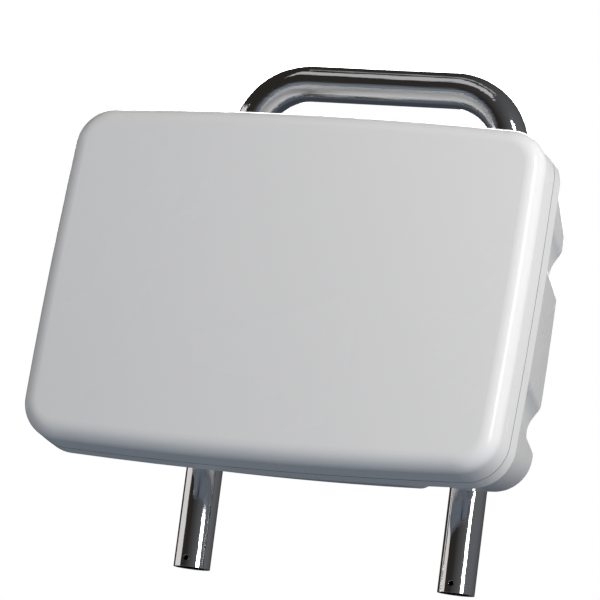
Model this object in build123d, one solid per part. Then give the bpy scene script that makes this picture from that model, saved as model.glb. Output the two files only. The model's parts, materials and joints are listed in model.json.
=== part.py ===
from build123d import *

import math
import os

# Helm instrument pod on a tubular guard: a blank two-part moulded enclosure, clamped by four split
# clamps to the straight legs of a bent stainless tube whose top loop is a grab handle.
#
# Frame: the origin is midway between the two leg ends, +X is to the right of someone who faces the
# pod, +Y is to the rear and +Z is up along the legs. Sizes are in millimetres.
#
# Pod coordinates, used by everything moulded or bolted to the pod: the origin is the centre of the
# seam plane, x is to the right, y is up the face and z is forward, out of the face. The pod leans
# back, so its y axis is at POD_LEAN to the legs.

# --- Guard tube ---
TUBE_OD = 31.75
TUBE_WALL = 1.65
LEG_INSET = 89.35  # pod's side to the leg's axis
BEND_RADIUS = 54.0
GUARD_HEIGHT = 431.5  # leg ends to the centreline of the top bar
PIN_HOLE_D = 5.0
PIN_HOLE_HEIGHT = 7.5  # leg end to the middle of the cross-pin hole
CABLE_HOLE_D = 14.0

# --- Pod outline and lean ---
POD_HALF_WIDTH = 210.0
POD_HALF_HEIGHT = 150.0
SIDE_BOW = 2.2  # how far each side bulges beyond its own ends
END_BOW = 5.9  # the same for the top and bottom
CORNER_RADIUS = 34.0
POD_LEAN = 7.75  # degrees
SEAM_HEIGHT = 219.5  # leg ends to the centre of the seam plane
WALL = 4.0

# --- Front housing ---
FRONT_DEPTH = 34.5
FRONT_DRAFT = 1.72  # degrees
FACE_EDGE_INSIDE_CORNER = 20.0  # corner radius less the radius of the face's edge

# --- Seam and gasket ---
SEAM_GAP = 0.8
GASKET_RECESS = 1.1  # outline to the outer edge of the gasket
GASKET_WIDTH = 2.4
GASKET_THICKNESS = 2.0
GASKET_SCREW_WEB = 0.65  # gasket groove to a screw's hole

# --- Rear housing ---
REAR_DEPTH = 124.0  # seam plane to the rear face at the pod's middle
FLANGE_DEPTH = 17.0
FLANGE_STEP = 2.5
FLANGE_RIM = 7.5  # outline to the mouth of the instrument bay
SIDE_DRAFT = 10.0  # degrees
END_DRAFT = 12.2  # degrees
REAR_CORNER_RADIUS = 30.0
REAR_EDGE_RADIUS = 15.0

# --- Screw channels in the sides, top and bottom of the rear housing ---
CHANNEL_RADIUS = 22.0
CHANNEL_CLEARANCE = 1.3  # channel floor to the rim of a sealing washer
CHANNEL_LIP_RADIUS = 8.0
SIDE_CHANNEL_INSET = 84.0  # pod's top or bottom to the middle of a side channel
END_CHANNEL_INSET = 94.0  # pod's side to the middle of a top or bottom channel
CHANNEL_WALL = 3.5

# --- Cover screws, their sealing washers and threaded inserts ---
SCREW_D = 4.0
SCREW_HEAD_D = 7.6
SCREW_HEAD_HEIGHT = 2.6
SCREW_HEAD_EDGE = 1.5
SCREW_ENGAGEMENT = 5.0  # thread inside the insert
SCREW_RECESS_D = 3.0
SCREW_RECESS_DEPTH = 1.4
RUNNING_CLEARANCE = 0.05  # radial
HOLE_CLEARANCE = 0.25  # radial
SEAL_WASHER_RIM = 0.5  # washer beyond the screw's head
SEAL_WASHER_THICKNESS = 1.0
INSERT_WALL = 1.2
INSERT_LENGTH = 8.0
INSERT_HOLE_DEPTH = 10.0
INSERT_BOSS_WALL = 2.4
INSERT_BOSS_FLOOR = 3.0

# --- Clamps ---
CLAMP_INSET = 80.0  # pod's top or bottom to the middle of the nearest clamps
CLAMP_HEIGHT = 30.0
CLAMP_EAR_MARGIN = 10.0  # bolt axis to the end of the ear
LINER_THICKNESS = 2.0
LINER_SPLIT = 2.0
SADDLE_WEB = 13.2  # thinnest part of a saddle, rear face to liner
CAP_THICKNESS = 5.0
CAP_EAR_THICKNESS = 6.0
CLAMP_SPLIT = 2.4  # gap between saddle and cap
BOLT_D = 6.0
BOLT_HEAD_D = 10.0
BOLT_HEAD_HEIGHT = 6.0
BOLT_HEAD_EDGE = 0.6
BOLT_SOCKET_AF = 5.0
BOLT_SOCKET_DEPTH = 3.0
BOLT_TAIL = 2.0  # thread left showing past the nut
CLAMP_WASHER_D = 12.0
CLAMP_WASHER_THICKNESS = 1.6
NUT_AF = 10.0
NUT_HEIGHT = 6.0
PLATE_THICKNESS = 3.0
PLATE_MARGIN = 12.0  # bolt axis to the plate's edge, along the leg
PLATE_CORNER = 6.0

# --- Cable gland in the rear face ---
GLAND_INSET = 66.0  # pod's bottom to the gland's axis
GLAND_THREAD_D = 25.0
GLAND_BORE_D = 16.0
GLAND_SHOULDER = 2.5  # flange beyond the thread
GLAND_FLANGE_THICKNESS = 5.0
GLAND_BARREL_LENGTH = 8.0
GLAND_THREAD_TAIL = 1.5
GLAND_WASHER_THICKNESS = 2.0
GLAND_CAP_D = 30.0
GLAND_CAP_LENGTH = 15.0
GLAND_CAP_WALL = 2.2
GLAND_CAP_EDGE = 4.4
GLAND_SEAL_BORE_D = 9.0
LOCKNUT_SHOULDER = 3.5  # nut beyond the thread
LOCKNUT_THICKNESS = 5.0

# --- Grommets in the cable holes of the legs ---
GROMMET_RIM = 2.5  # flange beyond the hole
GROMMET_FLANGE_THICKNESS = 1.6
GROMMET_WALL = 2.0

# --- Allowances ---
SLIP_GAP = 0.3  # between parts that only pass each other
OVERCUT = 1.0  # how far a cutter runs past the surface it opens

# --- Worked-out sizes ---
TUBE_R = TUBE_OD / 2
LEG_SPACING = 2 * (POD_HALF_WIDTH - LEG_INSET)
FACE_EDGE_RADIUS = CORNER_RADIUS - FACE_EDGE_INSIDE_CORNER
SIDE_CHANNEL_Y = POD_HALF_HEIGHT - SIDE_CHANNEL_INSET
END_CHANNEL_X = POD_HALF_WIDTH - END_CHANNEL_INSET
SCREW_INSET = GASKET_RECESS + GASKET_WIDTH + GASKET_SCREW_WEB + HOLE_CLEARANCE + SCREW_D / 2
SCREW_LENGTH = FLANGE_DEPTH + SEAL_WASHER_THICKNESS + SCREW_ENGAGEMENT
SEAL_WASHER_D = SCREW_HEAD_D + 2 * SEAL_WASHER_RIM
INSERT_D = SCREW_D + 2 * INSERT_WALL
INSERT_BOSS_RADIUS = INSERT_D / 2 + INSERT_BOSS_WALL
INSERT_BOSS_DEPTH = INSERT_HOLE_DEPTH + INSERT_BOSS_FLOOR
CLAMP_BORE_R = TUBE_R + RUNNING_CLEARANCE + LINER_THICKNESS
CLAMP_PITCH = 2 * (POD_HALF_HEIGHT - CLAMP_INSET)
BOLT_PITCH = 2 * (CLAMP_BORE_R + CAP_THICKNESS + SLIP_GAP) + CLAMP_WASHER_D
CLAMP_WIDTH = BOLT_PITCH + 2 * CLAMP_EAR_MARGIN
GLAND_BELOW_CENTRE = POD_HALF_HEIGHT - GLAND_INSET
GLAND_FLANGE_AF = GLAND_THREAD_D + 2 * GLAND_SHOULDER
LOCKNUT_AF = GLAND_THREAD_D + 2 * LOCKNUT_SHOULDER
GROMMET_FLANGE_D = CABLE_HOLE_D + 2 * GROMMET_RIM
REAR_FACE_Y = -(CLAMP_BORE_R + SADDLE_WEB)
LEAN = math.radians(POD_LEAN)
SEAM_Y = REAR_FACE_Y - REAR_DEPTH * math.cos(LEAN)
POD = Plane(
    origin=(0, SEAM_Y, SEAM_HEIGHT),
    x_dir=(1, 0, 0),
    z_dir=(0, -math.cos(LEAN), math.sin(LEAN)),
)
# The rear face is parallel to the legs. In pod coordinates it faces backward and a little upward.
REAR_FACE = Plane(
    origin=(0, 0, -REAR_DEPTH),
    x_dir=(1, 0, 0),
    z_dir=(0, math.sin(LEAN), -math.cos(LEAN)),
)
CLAMP_MID_Z = SEAM_HEIGHT - REAR_DEPTH * math.sin(LEAN)
FLANGE_FRONT = -SEAM_GAP
FLANGE_REAR = -FLANGE_DEPTH
HUGE = 1000.0
LOW_END = (Align.CENTER, Align.CENTER, Align.MIN)
SIDES = {"left": -1, "right": 1}
LEVELS = {"lower": -1, "upper": 1}


def save(name, *solids):
    """Writes one node, of one solid or of several like ones."""
    shape = solids[0] if len(solids) == 1 else Compound(children=list(solids))
    shape.label = name
    export_step(shape, f"parts/{name}.step")


def in_part_frame(shape):
    """Places a shape made in pod coordinates."""
    return shape.moved(POD.location)


# ----------------------------------------------------------------------------------------------
# Guard tube
# ----------------------------------------------------------------------------------------------


def guard_path():
    """Centreline of the guard: leg, bend, top bar, bend, leg."""
    half = LEG_SPACING / 2
    corners = [(-half, 0, 0), (-half, 0, GUARD_HEIGHT), (half, 0, GUARD_HEIGHT), (half, 0, 0)]
    return FilletPolyline(*corners, radius=BEND_RADIUS)


def guard_rod(radius):
    """Solid rod along the guard's centreline."""
    profile = Plane.XY * Pos(-LEG_SPACING / 2, 0, 0) * Circle(radius)
    return sweep(profile, path=guard_path())


def cable_hole_bar(side, diameter, length):
    """Round bar on a cable hole's axis, from the leg's axis toward the other leg."""
    start = Plane(origin=(side * LEG_SPACING / 2, 0, CLAMP_MID_Z), z_dir=(-side, 0, 0))
    return start * Cylinder(diameter / 2, length, align=LOW_END)


def guard_tube():
    """Bent tube with a cross-pin hole at each leg end and a cable hole behind the pod."""
    tube = guard_rod(TUBE_R) - guard_rod(TUBE_R - TUBE_WALL)
    for side in SIDES.values():
        tube -= cable_hole_bar(side, CABLE_HOLE_D, TUBE_OD)
        front = Plane(origin=(side * LEG_SPACING / 2, 0, PIN_HOLE_HEIGHT), z_dir=(0, -1, 0))
        tube -= front * Cylinder(PIN_HOLE_D / 2, TUBE_OD, align=LOW_END)
    return tube


def leg_bar(side, radius):
    """Stretch of round bar on a leg's axis, about the cable hole."""
    return Pos(side * LEG_SPACING / 2, 0, CLAMP_MID_Z) * Cylinder(radius, 2 * GROMMET_FLANGE_D)


def tube_grommet(side):
    """Rubber bush bonded into a leg's cable hole, flush with the tube's bore."""
    reach = TUBE_R + GROMMET_FLANGE_THICKNESS
    flange = cable_hole_bar(side, GROMMET_FLANGE_D, reach) - leg_bar(side, TUBE_R)
    neck = cable_hole_bar(side, CABLE_HOLE_D, reach) - leg_bar(side, TUBE_R - TUBE_WALL)
    return flange + neck - cable_hole_bar(side, CABLE_HOLE_D - 2 * GROMMET_WALL, 2 * reach)


# ----------------------------------------------------------------------------------------------
# Housings, in pod coordinates
# ----------------------------------------------------------------------------------------------


def outline(inset_x, inset_y, corner):
    """Face of the pod's outline, a rectangle with bowed sides and round corners."""
    w = POD_HALF_WIDTH - inset_x
    h = POD_HALF_HEIGHT - inset_y
    x = w - SIDE_BOW
    y = h - END_BOW
    edges = [
        ThreePointArc((x, -y), (w, 0), (x, y)),
        ThreePointArc((x, y), (0, h), (-x, y)),
        ThreePointArc((-x, y), (-w, 0), (-x, -y)),
        ThreePointArc((-x, -y), (0, -h), (x, -y)),
    ]
    face = make_face(edges)
    return fillet(face.vertices(), corner)


def front_block(inset):
    """Front housing as a full block, shrunk by inset on every side but the seam."""
    depth = FRONT_DEPTH - inset
    block = extrude(outline(inset, inset, CORNER_RADIUS - inset), amount=depth, taper=FRONT_DRAFT)
    face = block.faces().sort_by(Axis.Z)[-1]
    return fillet(face.edges(), FACE_EDGE_RADIUS - inset)


def screw_places():
    """Axis of each cover screw at the seam, and the direction from it to the nearest edge."""
    x = POD_HALF_WIDTH - SIDE_BOW * (SIDE_CHANNEL_Y / POD_HALF_HEIGHT) ** 2 - SCREW_INSET
    y = POD_HALF_HEIGHT - END_BOW * (END_CHANNEL_X / POD_HALF_WIDTH) ** 2 - SCREW_INSET
    places = []
    for a in (-1, 1):
        for b in (-1, 1):
            places.append((Vector(a * x, b * SIDE_CHANNEL_Y, 0), Vector(a, 0, 0)))
            places.append((Vector(b * END_CHANNEL_X, a * y, 0), Vector(0, a, 0)))
    return places


def along_screw(place, low, high, radius):
    """Round bar on a screw's axis, from low to high along z."""
    start = Plane(origin=place + Vector(0, 0, low), z_dir=(0, 0, 1))
    return start * Cylinder(radius, high - low, align=LOW_END)


def front_housing():
    """Blank face moulding with a boss for the threaded insert behind each cover screw."""
    outside = front_block(0)
    housing = outside - front_block(WALL)
    for place, _ in screw_places():
        boss = along_screw(place, 0, INSERT_BOSS_DEPTH, INSERT_BOSS_RADIUS) & outside
        housing += boss
    for place, _ in screw_places():
        housing -= along_screw(place, 0, INSERT_LENGTH, INSERT_D / 2)
        housing -= along_screw(place, 0, INSERT_HOLE_DEPTH, SCREW_D / 2 + HOLE_CLEARANCE)
    return housing


def rear_face_plane(forward=0.0):
    """The rear face's plane, or one parallel to it that lies further forward."""
    return REAR_FACE.offset(-forward)


def rear_block(front_inset, front_z, wall, corner, rear_corner):
    """Tapered body of the rear housing as a full block, from front_z to the rear face."""
    end_z = FLANGE_REAR - REAR_DEPTH - REAR_EDGE_RADIUS
    run = FLANGE_REAR - end_z
    inset_x = FLANGE_STEP + wall + run * math.tan(math.radians(SIDE_DRAFT))
    inset_y = FLANGE_STEP + wall + run * math.tan(math.radians(END_DRAFT))
    near = Plane.XY.offset(front_z) * outline(front_inset, front_inset, corner)
    far = Plane.XY.offset(end_z) * outline(inset_x, inset_y, rear_corner)
    body = loft([near, far], ruled=True)
    cut = rear_face_plane(wall)
    body = split(body, bisect_by=cut, keep=Keep.BOTTOM)
    rear = body.faces().sort_by(Axis((0, 0, 0), cut.z_dir))[-1]
    return fillet(rear.edges(), REAR_EDGE_RADIUS - wall)


def channel_axis(place, outward):
    """Axis of a screw channel, which runs back beside the drafted wall."""
    on_side = abs(outward.X) > 0.5
    draft = math.radians(SIDE_DRAFT if on_side else END_DRAFT)
    floor = SEAL_WASHER_D / 2 + CHANNEL_CLEARANCE
    centre = place + outward * (CHANNEL_RADIUS - floor) + Vector(0, 0, FLANGE_REAR)
    return Axis(centre, outward * -math.sin(draft) + Vector(0, 0, -math.cos(draft)))


def channel(place, outward, grow):
    """Cutter for the screw channel that leads back from one cover screw."""
    axis = channel_axis(place, outward)
    start = Plane(origin=axis.position - axis.direction * CHANNEL_RADIUS, z_dir=axis.direction)
    bar = start * Cylinder(CHANNEL_RADIUS + grow, 2 * REAR_DEPTH, align=LOW_END)
    behind = Pos(0, 0, FLANGE_REAR + grow) * Box(
        HUGE, HUGE, HUGE, align=(Align.CENTER, Align.CENTER, Align.MAX)
    )
    return bar & behind


def channel_lips(body):
    """Long edges where the screw channels meet the outside of the body."""
    lips = []
    for place, outward in screw_places():
        axis = channel_axis(place, outward)
        for edge in body.edges():
            middle = edge @ 0.5
            off = (middle - axis.position).cross(axis.direction).length
            behind_flange = edge.bounding_box().min.Z < FLANGE_REAR - OVERCUT
            if abs(off - CHANNEL_RADIUS) < RUNNING_CLEARANCE and behind_flange:
                lips.append(edge)
    return lips


def rear_body():
    """Outside of the tapered body, with its screw channels and their rounded lips."""
    body = rear_block(FLANGE_STEP, FLANGE_REAR, 0, CORNER_RADIUS, REAR_CORNER_RADIUS)
    for place, outward in screw_places():
        body -= channel(place, outward, 0)
    return fillet(channel_lips(body), CHANNEL_LIP_RADIUS)


def gasket_ring(front, back):
    """Ring between the gasket's outer and inner edges."""
    outer = outline(GASKET_RECESS, GASKET_RECESS, CORNER_RADIUS - GASKET_RECESS)
    inside = GASKET_RECESS + GASKET_WIDTH
    inner = outline(inside, inside, CORNER_RADIUS - inside)
    ring = outer - inner
    return extrude(Plane.XY.offset(back) * ring, amount=front - back)


def clamp_bolt_places():
    """x and z, in the part frame, of every clamp bolt."""
    return [
        (side * LEG_SPACING / 2 + a * BOLT_PITCH / 2, CLAMP_MID_Z + level * CLAMP_PITCH / 2)
        for side in SIDES.values()
        for level in LEVELS.values()
        for a in (-1, 1)
    ]


def along_y(x, z, front, back, radius):
    """Round bar parallel to +Y in the part frame, from front to back."""
    start = Plane(origin=(x, front, z), z_dir=(0, 1, 0))
    return start * Cylinder(radius, back - front, align=LOW_END)


def rear_housing():
    """Flanged rear moulding, in the part frame, with its bay, channels, groove and drillings."""
    flange = extrude(
        Plane.XY.offset(FLANGE_REAR) * outline(0, 0, CORNER_RADIUS),
        amount=FLANGE_FRONT - FLANGE_REAR,
    )
    bay_corner = CORNER_RADIUS - FLANGE_RIM
    bay = rear_block(FLANGE_RIM, FLANGE_FRONT, WALL, bay_corner, REAR_CORNER_RADIUS - WALL)
    for place, outward in screw_places():
        bay -= channel(place, outward, CHANNEL_WALL)
        bay -= along_screw(place, FLANGE_REAR - CHANNEL_WALL, FLANGE_FRONT, INSERT_BOSS_RADIUS)
    housing = flange + rear_body() - bay
    housing -= gasket_ring(FLANGE_FRONT, -GASKET_THICKNESS)
    for place, _ in screw_places():
        housing -= along_screw(place, FLANGE_REAR, FLANGE_FRONT, SCREW_D / 2 + HOLE_CLEARANCE)
    housing = in_part_frame(housing)
    front = REAR_FACE_Y - WALL - OVERCUT
    back = REAR_FACE_Y + OVERCUT
    for x, z in clamp_bolt_places():
        housing -= along_y(x, z, front, back, BOLT_D / 2 + HOLE_CLEARANCE)
    return housing - gland_bar(front, back, GLAND_THREAD_D + 2 * HOLE_CLEARANCE)


# ----------------------------------------------------------------------------------------------
# Cover screws, in pod coordinates
# ----------------------------------------------------------------------------------------------


def cover_insert(place):
    """Threaded insert, its bore drawn at the screw's running clearance."""
    bore = along_screw(place, 0, INSERT_LENGTH, SCREW_D / 2 + RUNNING_CLEARANCE)
    return along_screw(place, 0, INSERT_LENGTH, INSERT_D / 2) - bore


def cover_screw(place):
    """Pan-head screw with a round centre-pin recess."""
    seat = FLANGE_REAR - SEAL_WASHER_THICKNESS
    shank = along_screw(place, seat, seat + SCREW_LENGTH, SCREW_D / 2)
    head = along_screw(place, seat - SCREW_HEAD_HEIGHT, seat, SCREW_HEAD_D / 2)
    head = fillet(head.edges().group_by(Axis.Z)[0], SCREW_HEAD_EDGE)
    top = seat - SCREW_HEAD_HEIGHT
    recess = along_screw(place, top, top + SCREW_RECESS_DEPTH, SCREW_RECESS_D / 2)
    return head + shank - recess


def seal_washer(place):
    """Bonded washer under one cover screw's head."""
    seat = FLANGE_REAR - SEAL_WASHER_THICKNESS
    disc = along_screw(place, seat, FLANGE_REAR, SEAL_WASHER_D / 2)
    return disc - along_screw(place, seat, FLANGE_REAR, SCREW_D / 2 + HOLE_CLEARANCE)


# ----------------------------------------------------------------------------------------------
# Clamps, in the part frame
# ----------------------------------------------------------------------------------------------


def clamp_centre(side, level):
    """Point on the leg's axis at the middle of one clamp."""
    return Pos(side * LEG_SPACING / 2, 0, CLAMP_MID_Z + level * CLAMP_PITCH / 2)


def bolt_holes(front, back):
    """Two clearance holes of one clamp, about its own centre."""
    holes = [
        along_y(a * BOLT_PITCH / 2, 0, front, back, BOLT_D / 2 + HOLE_CLEARANCE) for a in (-1, 1)
    ]
    return holes[0] + holes[1]


def clamp_saddle(side, level):
    """Moulded block between the rear face and the leg, with a half-round seat."""
    back = -CLAMP_SPLIT / 2
    depth = back - REAR_FACE_Y
    block = Pos(0, REAR_FACE_Y + depth / 2, 0) * Box(CLAMP_WIDTH, depth, CLAMP_HEIGHT)
    block = fillet(block.edges().filter_by(Axis.Y), PLATE_CORNER)
    block -= Cylinder(CLAMP_BORE_R, CLAMP_HEIGHT)
    block -= bolt_holes(REAR_FACE_Y, back)
    return clamp_centre(side, level) * block


def clamp_cap(side, level):
    """Cast cap behind the leg: a half-round band with two flat ears."""
    front = CLAMP_SPLIT / 2
    ear_back = front + CAP_EAR_THICKNESS
    ears = Pos(0, (front + ear_back) / 2, 0) * Box(CLAMP_WIDTH, CAP_EAR_THICKNESS, CLAMP_HEIGHT)
    ears = fillet(ears.edges().filter_by(Axis.Y), PLATE_CORNER)
    rear_half = Pos(0, front, 0) * Box(
        HUGE, HUGE, CLAMP_HEIGHT, align=(Align.CENTER, Align.MIN, Align.CENTER)
    )
    band = Cylinder(CLAMP_BORE_R + CAP_THICKNESS, CLAMP_HEIGHT) & rear_half
    cap = ears + band - Cylinder(CLAMP_BORE_R, CLAMP_HEIGHT)
    cap -= bolt_holes(front, ear_back)
    return clamp_centre(side, level) * cap


def clamp_liner(side, level):
    """Rubber sleeve round the leg, split on its outer side."""
    bore = Cylinder(TUBE_R + RUNNING_CLEARANCE, CLAMP_HEIGHT)
    sleeve = Cylinder(CLAMP_BORE_R, CLAMP_HEIGHT) - bore
    from_axis = (Align.MIN, Align.CENTER, Align.CENTER)
    slit = Box(CLAMP_BORE_R * 2, LINER_SPLIT, CLAMP_HEIGHT, align=from_axis)
    if side < 0:
        slit = slit.mirror(Plane.YZ)
    return clamp_centre(side, level) * (sleeve - slit)


def backing_plate(side):
    """Plate inside the pod that spreads the load of one leg's two clamps."""
    width = BOLT_PITCH + 2 * PLATE_MARGIN
    height = CLAMP_PITCH + 2 * PLATE_MARGIN
    back = REAR_FACE_Y - WALL
    front = back - PLATE_THICKNESS
    middle = Pos(side * LEG_SPACING / 2, (front + back) / 2, CLAMP_MID_Z)
    plate = middle * Box(width, PLATE_THICKNESS, height)
    plate = fillet(plate.edges().filter_by(Axis.Y), PLATE_CORNER)
    for x, z in clamp_bolt_places():
        plate -= along_y(x, z, front, back, BOLT_D / 2 + HOLE_CLEARANCE)
    return plate


def nut_front():
    """Front of the clamp nuts, inside the pod."""
    return REAR_FACE_Y - WALL - PLATE_THICKNESS - NUT_HEIGHT


def clamp_bolt(x, z):
    """Socket-head bolt from the cap's ear to its nut inside the pod."""
    seat = CLAMP_SPLIT / 2 + CAP_EAR_THICKNESS + CLAMP_WASHER_THICKNESS
    shank = along_y(x, z, nut_front() - BOLT_TAIL, seat, BOLT_D / 2)
    head = along_y(x, z, seat, seat + BOLT_HEAD_HEIGHT, BOLT_HEAD_D / 2)
    head = chamfer(head.edges().group_by(Axis.Y)[-1], BOLT_HEAD_EDGE)
    top = Plane(origin=(x, seat + BOLT_HEAD_HEIGHT, z), z_dir=(0, -1, 0))
    hexagon = RegularPolygon(BOLT_SOCKET_AF / 2, 6, major_radius=False)
    return head + shank - extrude(top * hexagon, BOLT_SOCKET_DEPTH)


def clamp_washer(x, z):
    """Plain washer between a bolt head and the cap's ear."""
    seat = CLAMP_SPLIT / 2 + CAP_EAR_THICKNESS
    disc = along_y(x, z, seat, seat + CLAMP_WASHER_THICKNESS, CLAMP_WASHER_D / 2)
    return disc - along_y(x, z, seat, seat + CLAMP_WASHER_THICKNESS, BOLT_D / 2 + HOLE_CLEARANCE)


def clamp_nut(x, z):
    """Hexagon nut, its thread drawn as a plain bore on the bolt."""
    front = nut_front()
    start = Plane(origin=(x, front, z), z_dir=(0, 1, 0))
    nut = extrude(start * RegularPolygon(NUT_AF / 2, 6, major_radius=False), NUT_HEIGHT)
    return nut - along_y(x, z, front, front + NUT_HEIGHT, BOLT_D / 2 + RUNNING_CLEARANCE)


# ----------------------------------------------------------------------------------------------
# Cable gland, in the part frame
# ----------------------------------------------------------------------------------------------


def gland_z():
    """Height of the gland's axis."""
    return CLAMP_MID_Z - GLAND_BELOW_CENTRE


def gland_bar(front, back, diameter):
    """Round bar on the gland's axis."""
    return along_y(0, gland_z(), front, back, diameter / 2)


def gland_hexagon(front, thickness, across_flats):
    """Hexagonal prism on the gland's axis."""
    start = Plane(origin=(0, front, gland_z()), z_dir=(0, 1, 0))
    return extrude(start * RegularPolygon(across_flats / 2, 6, major_radius=False), thickness)


def gland_washer():
    """Flat seal between the gland's flange and the rear face."""
    back = REAR_FACE_Y + GLAND_WASHER_THICKNESS
    bore = gland_bar(REAR_FACE_Y, back, GLAND_THREAD_D + 2 * HOLE_CLEARANCE)
    return gland_bar(REAR_FACE_Y, back, GLAND_FLANGE_AF) - bore


def gland_flange_back():
    """Rear of the gland body's hexagon flange, where its barrel starts."""
    return REAR_FACE_Y + GLAND_WASHER_THICKNESS + GLAND_FLANGE_THICKNESS


def gland_body():
    """Gland body: thread through the wall, hexagon flange and the barrel that takes the cap."""
    flange_front = REAR_FACE_Y + GLAND_WASHER_THICKNESS
    tail = REAR_FACE_Y - WALL - LOCKNUT_THICKNESS - GLAND_THREAD_TAIL
    barrel_back = gland_flange_back() + GLAND_BARREL_LENGTH
    barrel_d = GLAND_CAP_D - 2 * (GLAND_CAP_WALL + RUNNING_CLEARANCE)
    body = gland_bar(tail, flange_front, GLAND_THREAD_D)
    body += gland_hexagon(flange_front, GLAND_FLANGE_THICKNESS, GLAND_FLANGE_AF)
    body += gland_bar(gland_flange_back(), barrel_back, barrel_d)
    return body - gland_bar(tail, barrel_back, GLAND_BORE_D)


def gland_locknut():
    """Nut that holds the gland from inside the pod."""
    back = REAR_FACE_Y - WALL
    front = back - LOCKNUT_THICKNESS
    bore = gland_bar(front, back, GLAND_THREAD_D + 2 * RUNNING_CLEARANCE)
    return gland_hexagon(front, LOCKNUT_THICKNESS, LOCKNUT_AF) - bore


def gland_seal():
    """Rubber ring that grips the cable inside the gland."""
    front = gland_flange_back()
    back = front + GLAND_BARREL_LENGTH
    ring = gland_bar(front, back, GLAND_BORE_D - 2 * RUNNING_CLEARANCE)
    return ring - gland_bar(front, back, GLAND_SEAL_BORE_D)


def gland_cap():
    """Domed nut that squeezes the seal, with the cable's mouth in its end."""
    front = gland_flange_back() + SLIP_GAP
    back = front + GLAND_CAP_LENGTH
    cap = gland_bar(front, back, GLAND_CAP_D)
    cap = fillet(cap.edges().group_by(Axis.Y)[-1], GLAND_CAP_EDGE)
    cap -= gland_bar(front, front + GLAND_BARREL_LENGTH, GLAND_CAP_D - 2 * GLAND_CAP_WALL)
    return cap - gland_bar(front, back, GLAND_BORE_D)


# ----------------------------------------------------------------------------------------------
# All nodes
# ----------------------------------------------------------------------------------------------

os.makedirs("parts", exist_ok=True)

save("guard_tube", guard_tube())
for side_name, side in SIDES.items():
    save(f"tube_grommet_{side_name}", tube_grommet(side))

save("front_housing", in_part_frame(front_housing()))
save("rear_housing", rear_housing())
save("housing_gasket", in_part_frame(gasket_ring(0, -GASKET_THICKNESS)))

screw_axes = [place for place, _ in screw_places()]
save("cover_inserts", *[in_part_frame(cover_insert(place)) for place in screw_axes])
save("cover_screws", *[in_part_frame(cover_screw(place)) for place in screw_axes])
save("cover_screw_washers", *[in_part_frame(seal_washer(place)) for place in screw_axes])

for side_name, side in SIDES.items():
    save(f"backing_plate_{side_name}", backing_plate(side))
    for level_name, level in LEVELS.items():
        save(f"clamp_saddle_{level_name}_{side_name}", clamp_saddle(side, level))
        save(f"clamp_cap_{level_name}_{side_name}", clamp_cap(side, level))
        save(f"clamp_liner_{level_name}_{side_name}", clamp_liner(side, level))

save("clamp_bolts", *[clamp_bolt(x, z) for x, z in clamp_bolt_places()])
save("clamp_washers", *[clamp_washer(x, z) for x, z in clamp_bolt_places()])
save("clamp_nuts", *[clamp_nut(x, z) for x, z in clamp_bolt_places()])

save("gland_body", gland_body())
save("gland_washer", gland_washer())
save("gland_locknut", gland_locknut())
save("gland_seal", gland_seal())
save("gland_cap", gland_cap())
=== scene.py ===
"""Looks of a blank instrument pod on a bent tubular guard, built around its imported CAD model."""

import json
import logging
import math
from dataclasses import dataclass, replace
from enum import Enum
from typing import Callable, Iterable, Sequence

import bmesh
import bpy
from mathutils import Matrix, Vector


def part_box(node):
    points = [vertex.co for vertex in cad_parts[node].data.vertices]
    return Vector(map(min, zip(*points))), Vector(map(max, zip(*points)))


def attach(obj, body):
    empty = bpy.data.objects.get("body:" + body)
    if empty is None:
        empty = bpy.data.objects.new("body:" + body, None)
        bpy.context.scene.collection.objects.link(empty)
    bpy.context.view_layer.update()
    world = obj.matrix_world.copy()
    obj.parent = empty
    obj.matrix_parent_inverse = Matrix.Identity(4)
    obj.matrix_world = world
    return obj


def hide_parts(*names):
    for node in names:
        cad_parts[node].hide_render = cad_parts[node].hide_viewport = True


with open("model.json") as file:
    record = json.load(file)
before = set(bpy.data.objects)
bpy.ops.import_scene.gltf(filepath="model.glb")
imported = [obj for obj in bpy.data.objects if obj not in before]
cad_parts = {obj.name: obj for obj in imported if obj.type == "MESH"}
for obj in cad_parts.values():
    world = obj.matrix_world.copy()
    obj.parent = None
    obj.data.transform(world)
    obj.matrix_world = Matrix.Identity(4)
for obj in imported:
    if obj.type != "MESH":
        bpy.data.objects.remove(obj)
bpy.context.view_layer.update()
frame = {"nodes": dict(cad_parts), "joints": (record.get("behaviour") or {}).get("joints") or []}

LOG = logging.getLogger("guarded_pod")
MM = 0.001
SHARP_ANGLE = 32.0

Triple = tuple[float, float, float]
Colour = Triple
Outline = Callable[[float], float]
MATERIALS: dict[str, bpy.types.Material] = {}


# ----------------------------------------------------------------------------------------------
# Shader graphs
# ----------------------------------------------------------------------------------------------


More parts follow.
